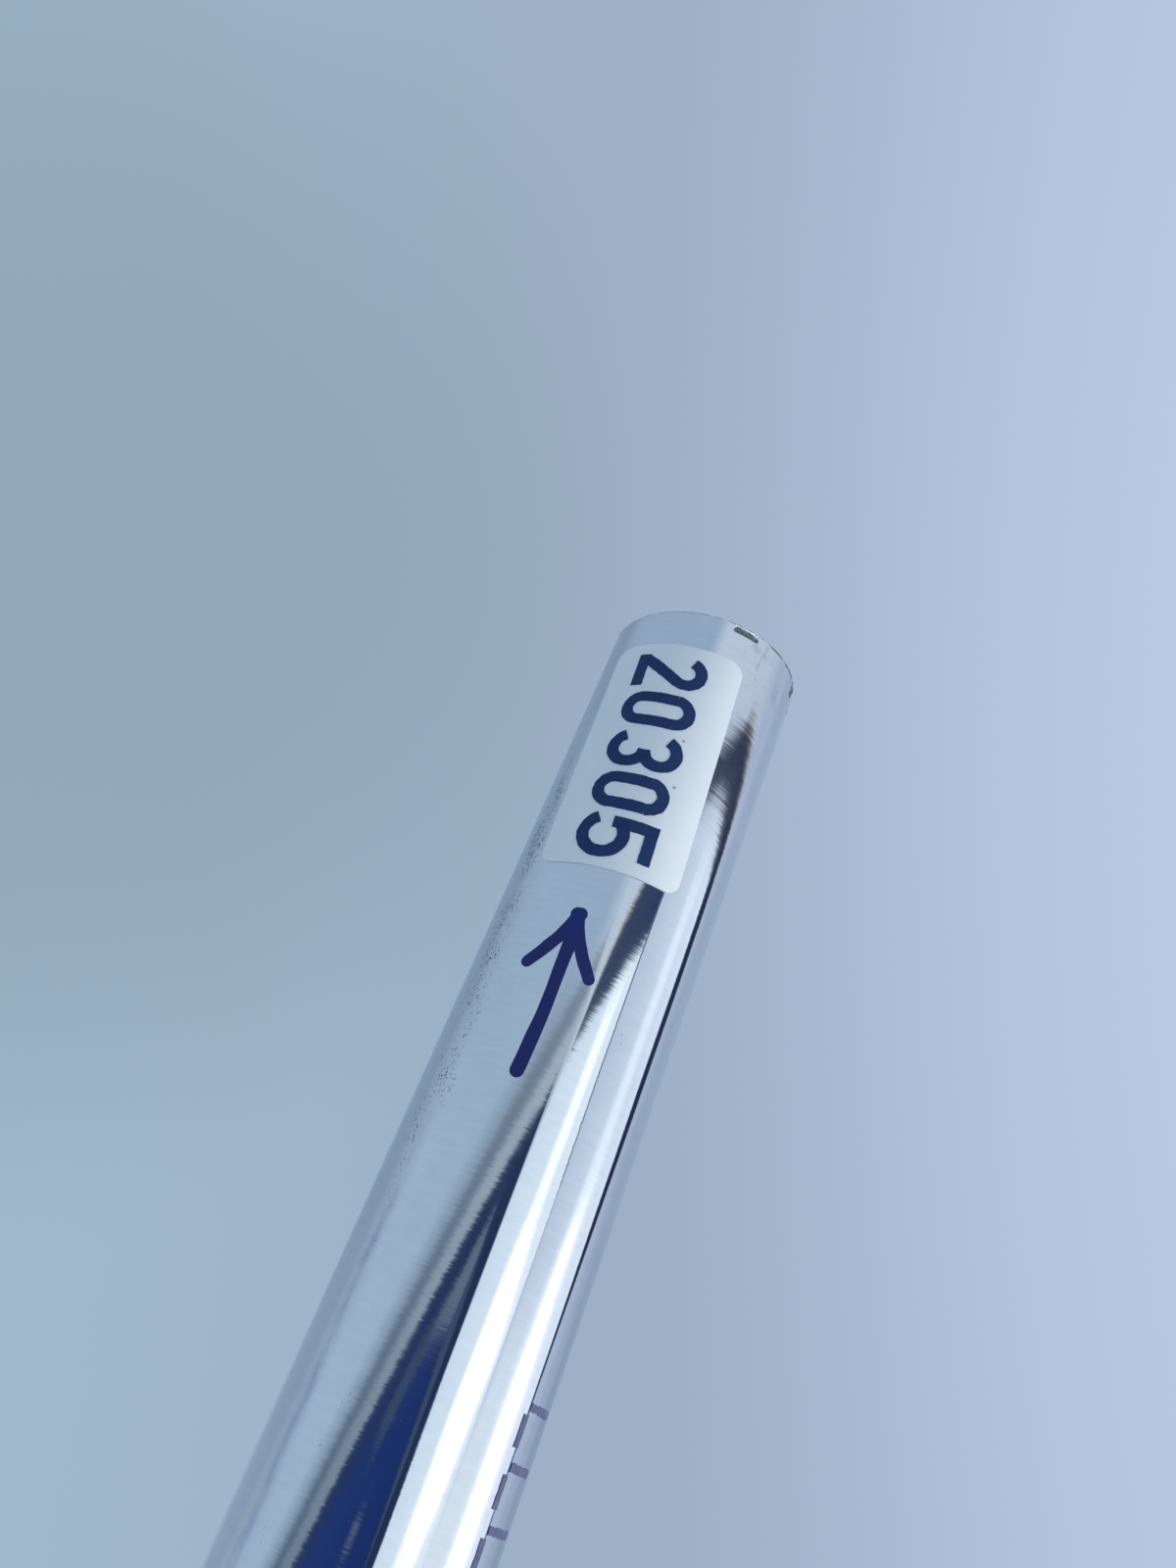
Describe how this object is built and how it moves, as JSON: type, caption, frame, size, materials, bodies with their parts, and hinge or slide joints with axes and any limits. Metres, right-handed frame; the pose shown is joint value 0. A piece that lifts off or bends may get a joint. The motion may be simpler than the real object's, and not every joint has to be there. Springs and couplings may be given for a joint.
{
  "type": "steel golf club shaft",
  "caption": "Bare stepped steel club shaft with a chrome finish, a parallel tip for a head and a parallel butt for a grip, with a figure sticker near the butt.",
  "frame": {"origin": "centre of the tip's end, on the shaft's axis", "axes": "+Z along the axis from the tip to the butt; the sticker on the butt faces -Y and its figures have their heads towards +X"},
  "size_m": [0.0152, 0.0153, 0.8805],
  "materials": {
    "chrome_plate": "bright nickel-chrome plate over ground steel, with fine lines round the tube",
    "label_film": "white film sticker with a soft sheen",
    "figure_ink": "dark blue-black thermal print",
    "marker_ink": "dark blue permanent marker, glossy on chrome",
    "dash_ink": "thin violet-blue print"
  },
  "bodies": {
    "root": {"chrome_shaft": "chrome_plate", "number_label": "label_film", "label_figures": "figure_ink", "marker_arrow": "marker_ink", "code_dashes": "dash_ink"}
  },
  "joints": []
}
